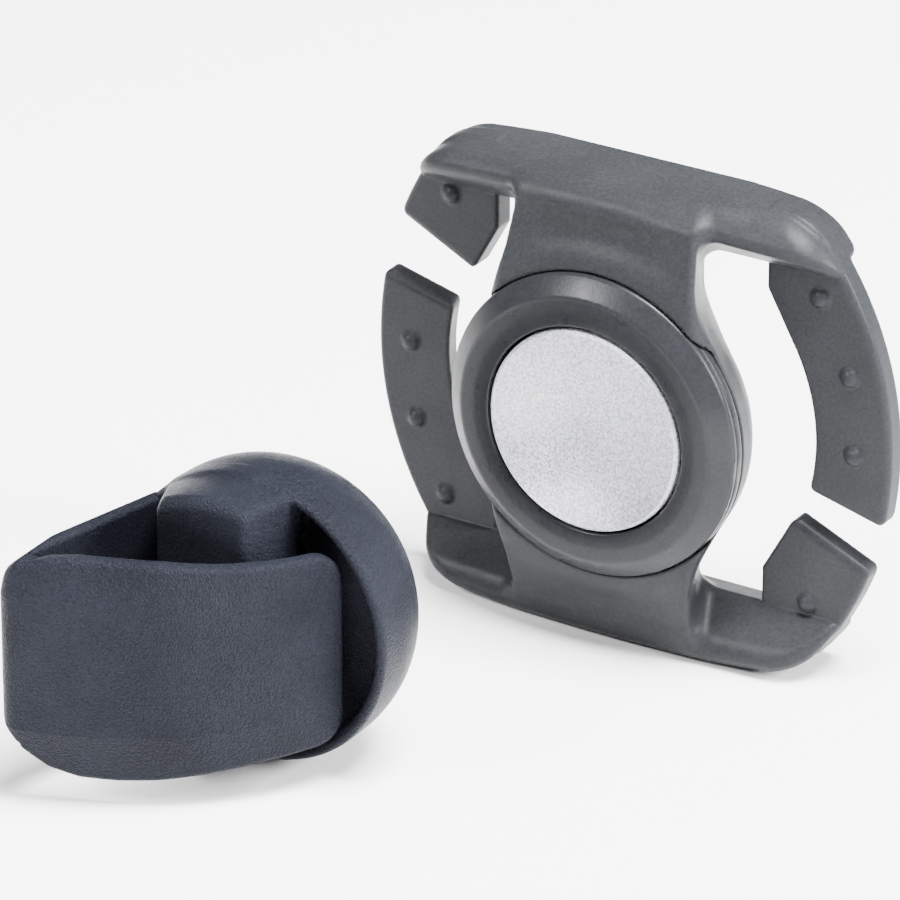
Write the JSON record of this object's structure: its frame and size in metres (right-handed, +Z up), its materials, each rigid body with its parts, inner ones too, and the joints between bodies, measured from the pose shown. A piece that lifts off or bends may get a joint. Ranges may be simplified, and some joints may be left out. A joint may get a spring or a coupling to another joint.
{
  "type": "cycling computer magnet set",
  "caption": "Magnet set of a cycling computer: a slotted carrier with a disc magnet for the crank, and a domed spring clip with a magnet for a wheel spoke.",
  "frame": {"origin": "middle of the footprint of the two pieces, on the surface they stand on", "axes": "+Z up; the crank magnet and the clip's band face -Y; +X is to the right when the crank magnet is seen from its face"},
  "size_m": [0.0346, 0.0382, 0.0276],
  "materials": {
    "carrier_plastic": "smooth moulded, satin",
    "bezel_plastic": "smooth moulded, satin",
    "clip_plastic": "fine spark-eroded grain",
    "magnet_nickel": "matt nickel plate",
    "keeper_steel": "zinc plated"
  },
  "bodies": {
    "carrier": {"carrier_spine": "carrier_plastic", "upper_right_arm": "carrier_plastic", "lower_right_arm": "carrier_plastic", "upper_left_arm": "carrier_plastic", "lower_left_arm": "carrier_plastic", "bezel_ring": "bezel_plastic", "crank_magnet": "magnet_nickel", "keeper_washer": "keeper_steel"},
    "clip": {"clip_cap": "clip_plastic", "spoke_rib": "clip_plastic", "clip_back_wall": "clip_plastic", "wheel_magnet": "magnet_nickel", "magnet_plug": "clip_plastic"},
    "band": {"clip_front_wall": "clip_plastic"}
  },
  "joints": [
    {"name": "clip_slide", "type": "slide", "parent": "carrier", "child": "clip", "axis": [0, -1, 0], "range_m": [0, 0.05]},
    {"name": "band_flex", "type": "hinge", "parent": "clip", "child": "band", "pos_m": [-0.01628, -0.01813, 0.00845], "axis": [0, 0, -1], "range_deg": [0, 9], "stiffness_Nm_per_rad": 0.15}
  ]
}
